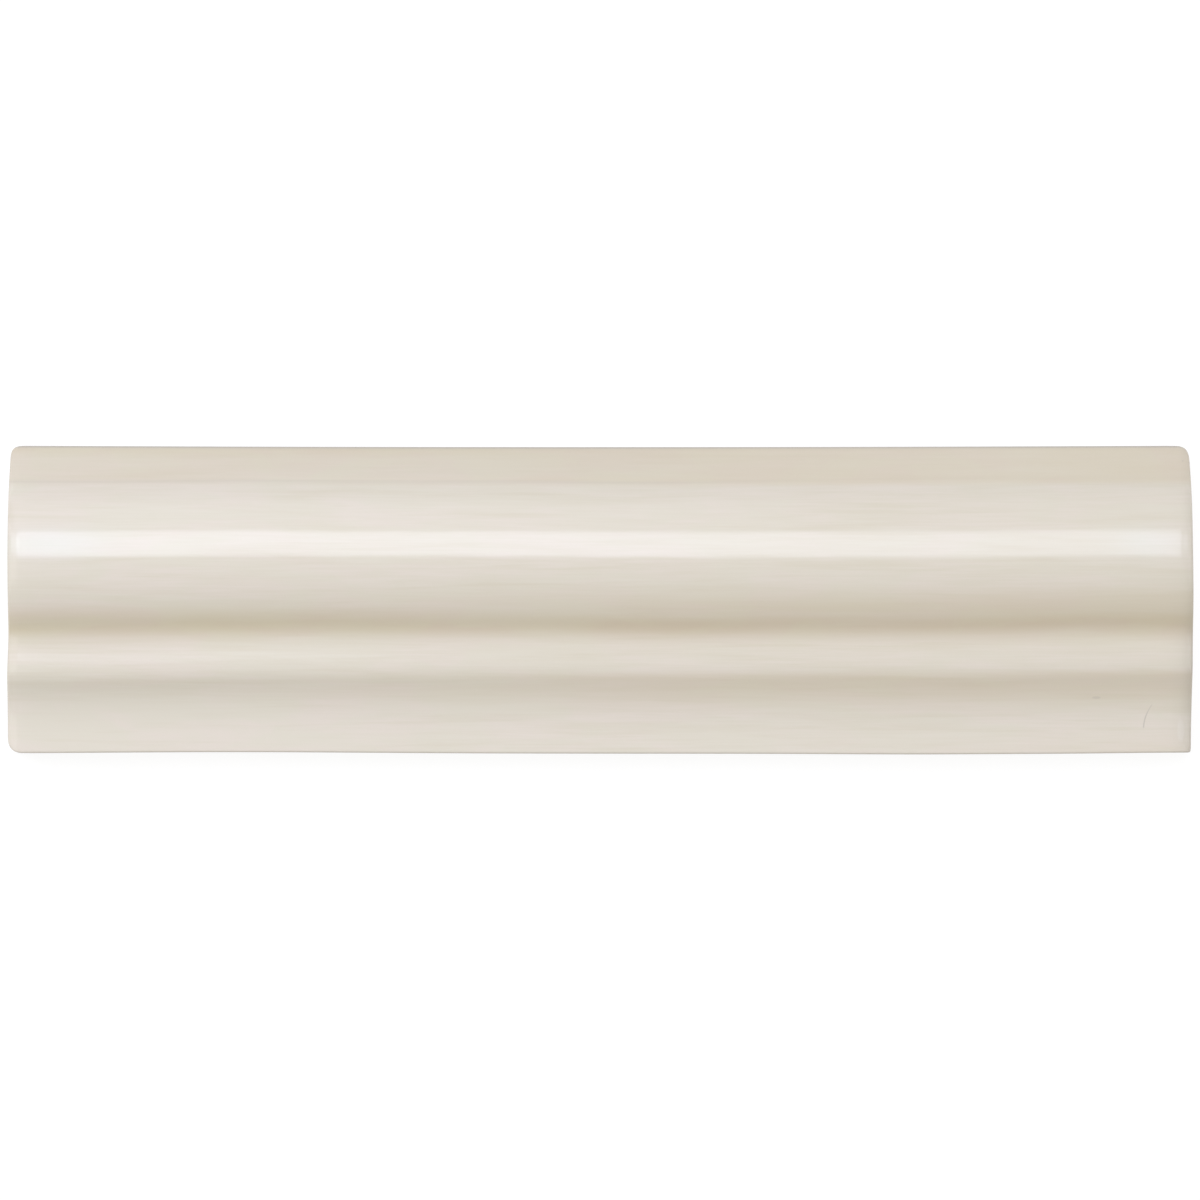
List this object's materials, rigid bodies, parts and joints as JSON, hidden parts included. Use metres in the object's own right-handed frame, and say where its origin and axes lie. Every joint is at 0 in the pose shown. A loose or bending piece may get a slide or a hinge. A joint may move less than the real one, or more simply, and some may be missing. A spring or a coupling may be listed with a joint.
{
  "type": "ceramic moulding tile",
  "caption": "Long glazed ceramic trim tile with a rounded crown, a low bead between two grooves and a thinner flat foot, for finishing a tiled wall.",
  "frame": {"origin": "middle of the flat back, at the centre of the tile's length and height", "axes": "+X along the tile, +Y towards the edge under the thick crown that is uppermost on a wall, +Z out of the back towards the glazed front"},
  "size_m": [0.2, 0.0524, 0.018],
  "materials": {
    "glazed_ceramic": "cream glaze, glossy on the front and sides, bare fired clay on the back"
  },
  "bodies": {
    "root": {"moulding_tile": "glazed_ceramic"}
  },
  "joints": []
}
